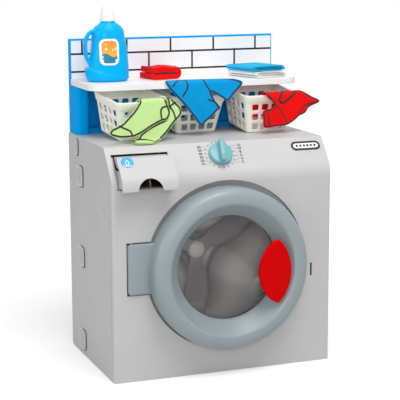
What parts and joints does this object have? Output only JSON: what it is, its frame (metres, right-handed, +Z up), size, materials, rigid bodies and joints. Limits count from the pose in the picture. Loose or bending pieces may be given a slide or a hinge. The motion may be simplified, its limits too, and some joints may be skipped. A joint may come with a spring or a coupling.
{
  "type": "toy washing machine",
  "caption": "Child's play washing machine with hinged round door, turning drum, pull-out drawer, programme knob and a shelf hutch with laundry baskets, soap bottle and play clothes",
  "frame": {"origin": "centre of the cabinet's footprint, on the surface it stands on", "axes": "+X to the machine's right as seen from the front, +Y to its back, +Z up"},
  "size_m": [0.4736, 0.3396, 0.6916],
  "materials": {
    "cabinet_grey": "satin",
    "pad_grey": "matte",
    "zinc_steel": "zinc plated",
    "inner_grey": "matte",
    "drum_taupe": "satin",
    "bush_nylon": "matte",
    "dark_plastic": "matte",
    "board_green": "matte",
    "battery_jacket": "printed jacket",
    "contact_spring": "nickel plated",
    "lead_red": "insulated lead",
    "hutch_blue": "satin gloss",
    "sheet_white": "printed sheet",
    "shelf_white": "satin gloss",
    "bottle_blue": "satin gloss",
    "cap_white": "satin gloss",
    "label_paper": "printed label",
    "cloth_blue": "felt with printed outline",
    "cloth_red": "felt with printed outline",
    "cloth_white": "felt",
    "cloth_green": "felt with printed outline",
    "door_grey": "satin",
    "window_clear": "clear moulding",
    "handle_red": "gloss",
    "drawer_grey": "satin",
    "knob_blue": "satin",
    "basket_cream": "satin"
  },
  "bodies": {
    "cabinet": {"front_panel": "cabinet_grey", "side_left": "cabinet_grey", "side_right": "cabinet_grey", "top_panel": "cabinet_grey", "back_panel": "cabinet_grey", "base_panel": "cabinet_grey", "snap_covers_left": "pad_grey", "snap_covers_right": "pad_grey", "panel_screws": "zinc_steel", "drum_housing": "inner_grey", "drum_bush": "bush_nylon", "housing_screws": "zinc_steel", "hinge_pin": "zinc_steel", "door_catch": "dark_plastic", "drawer_housing": "inner_grey", "rotary_switch": "dark_plastic", "sound_board": "board_green", "speaker": "dark_plastic", "battery_box": "inner_grey", "batteries": "battery_jacket", "battery_contacts": "contact_spring", "battery_cover": "pad_grey", "battery_screw": "zinc_steel", "power_switch_body": "dark_plastic", "wiring": "lead_red", "hutch_frame": "hutch_blue", "backsplash_sheet": "sheet_white", "shelf": "shelf_white", "shelf_screws": "zinc_steel", "hutch_screws": "zinc_steel", "bottle_body": "bottle_blue", "bottle_cap": "cap_white", "bottle_label": "label_paper", "shirt": "cloth_blue", "folded_red_cloth": "cloth_red", "folded_blue_cloth": "cloth_blue", "folded_white_cloth": "cloth_white"},
    "door": {"door_ring": "door_grey", "door_back_ring": "door_grey", "door_window": "window_clear", "door_handle": "handle_red"},
    "drum_group": {"drum": "drum_taupe", "drum_axle": "zinc_steel", "axle_clip": "zinc_steel"},
    "drawer": {"drawer_tray": "drawer_grey"},
    "dial": {"knob": "knob_blue", "switch_shaft": "zinc_steel"},
    "slider": {"power_slider": "dark_plastic"},
    "left_basket": {"basket_left": "basket_cream", "socks": "cloth_green"},
    "middle_basket": {"basket_middle": "basket_cream"},
    "right_basket": {"basket_right": "basket_cream", "shorts": "cloth_red"}
  },
  "joints": [
    {"name": "door_hinge", "type": "hinge", "parent": "cabinet", "child": "door", "pos_m": [-0.183, -0.141, 0.2145], "axis": [0, 0, -1], "range_deg": [0, 100]},
    {"name": "drum_spin", "type": "hinge", "parent": "cabinet", "child": "drum_group", "pos_m": [0.002, 0, 0.2055], "axis": [0, -1, 0], "continuous": true},
    {"name": "drawer_slide", "type": "slide", "parent": "cabinet", "child": "drawer", "axis": [0, -1, 0], "range_m": [-0.032, 0.03]},
    {"name": "knob_turn", "type": "hinge", "parent": "cabinet", "child": "dial", "pos_m": [0.002, -0.11671, 0.4137], "axis": [0, -0.766, 0.6429], "range_deg": [-140, 140]},
    {"name": "power_slide", "type": "slide", "parent": "cabinet", "child": "slider", "axis": [1, 0, 0], "range_m": [-0.003, 0.003]},
    {"name": "left_basket_slide", "type": "slide", "parent": "cabinet", "child": "left_basket", "axis": [0, -1, 0], "range_m": [0, 0.03]},
    {"name": "middle_basket_slide", "type": "slide", "parent": "cabinet", "child": "middle_basket", "axis": [0, -1, 0], "range_m": [0, 0.012]},
    {"name": "right_basket_slide", "type": "slide", "parent": "cabinet", "child": "right_basket", "axis": [0, -1, 0], "range_m": [0, 0.03]}
  ]
}
